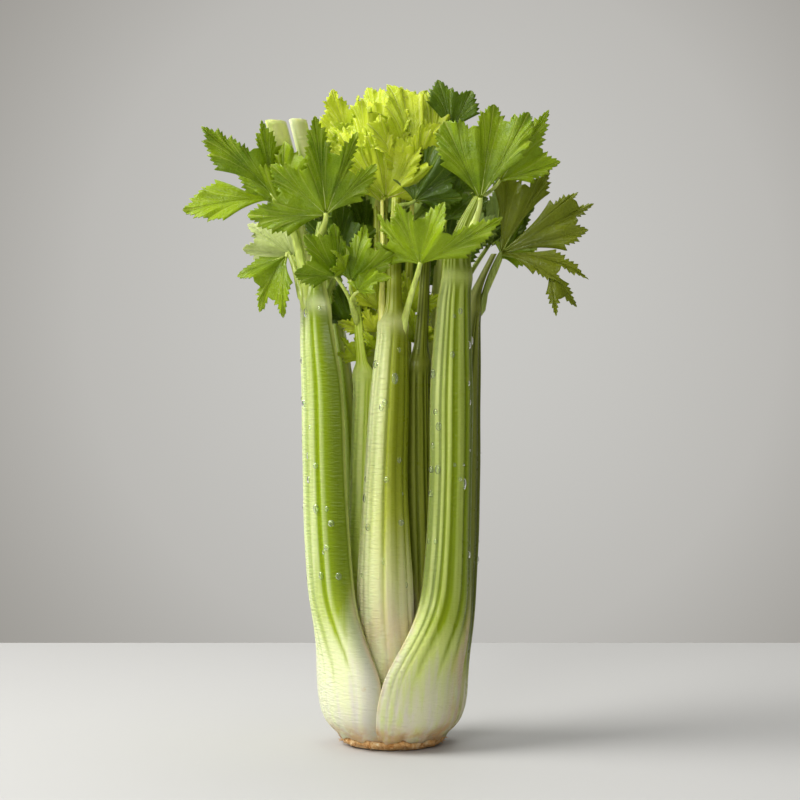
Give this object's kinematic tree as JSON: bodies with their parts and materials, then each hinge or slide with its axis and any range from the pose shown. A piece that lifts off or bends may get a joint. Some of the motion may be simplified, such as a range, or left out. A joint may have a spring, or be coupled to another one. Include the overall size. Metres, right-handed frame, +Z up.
{
  "type": "head of celery",
  "caption": "Fresh head of celery standing on its cut root crown, with ribbed stalks wrapped round a pale heart and lobed leaves on top.",
  "frame": {"origin": "centre of the cut face under the root crown, on the surface that the head stands on", "axes": "+Z up along the stalks, -Y towards the front where the pale inner stalk shows, +X to the right seen from the front"},
  "size_m": [0.2269, 0.1447, 0.377],
  "materials": {
    "crown": "dry fibrous cut root, matt brown",
    "stalk": "fresh ribbed stalk, satin and moist, white at the base",
    "stalk_pale": "fresh ribbed stalk, satin and moist, pale",
    "stalk_inner": "fresh inner stalk, satin",
    "heart": "thin pale heart stalk, satin",
    "leaf": "fresh veined leaf, satin",
    "leaf_dark": "fresh dark veined leaf, satin",
    "leaf_young": "young yellow-green leaf, satin"
  },
  "bodies": {
    "root": {"heart_front": "heart", "heart_rear": "heart", "heart_right": "heart", "leaf_front": "leaf", "leaf_front_left": "leaf", "leaf_front_right": "leaf", "leaf_front_upper": "leaf_dark", "leaf_heart_a": "leaf_young", "leaf_heart_b": "leaf_young", "leaf_heart_c": "leaf_young", "leaf_heart_d": "leaf_young", "leaf_heart_e": "leaf_young", "leaf_heart_f": "leaf_young", "leaf_heart_low": "leaf_young", "leaf_inner_left_a": "leaf", "leaf_inner_left_b": "leaf", "leaf_inner_left_c": "leaf", "leaf_inner_rear_right": "leaf", "leaf_inner_right": "leaf_dark", "leaf_left": "leaf", "leaf_left_back": "leaf", "leaf_left_inner": "leaf_dark", "leaf_left_low": "leaf", "leaf_rear_a": "leaf", "leaf_rear_b": "leaf", "leaf_rear_c": "leaf", "leaf_rear_d": "leaf_dark", "leaf_rear_low": "leaf", "leaf_right": "leaf_dark", "leaf_right_upper": "leaf", "leaf_side_right": "leaf", "leaf_top_left": "leaf_young", "leaf_top_right": "leaf_dark", "root_crown": "crown", "stalk_front_left": "stalk", "stalk_front_right": "stalk", "stalk_inner_front": "stalk_pale", "stalk_inner_left": "stalk_inner", "stalk_inner_rear": "stalk_inner", "stalk_inner_rear_left": "stalk_inner", "stalk_inner_rear_right": "stalk_inner", "stalk_inner_right": "stalk_inner", "stalk_rear": "stalk", "stalk_rear_left": "stalk", "stalk_rear_right": "stalk", "stalk_right": "stalk"}
  },
  "joints": []
}
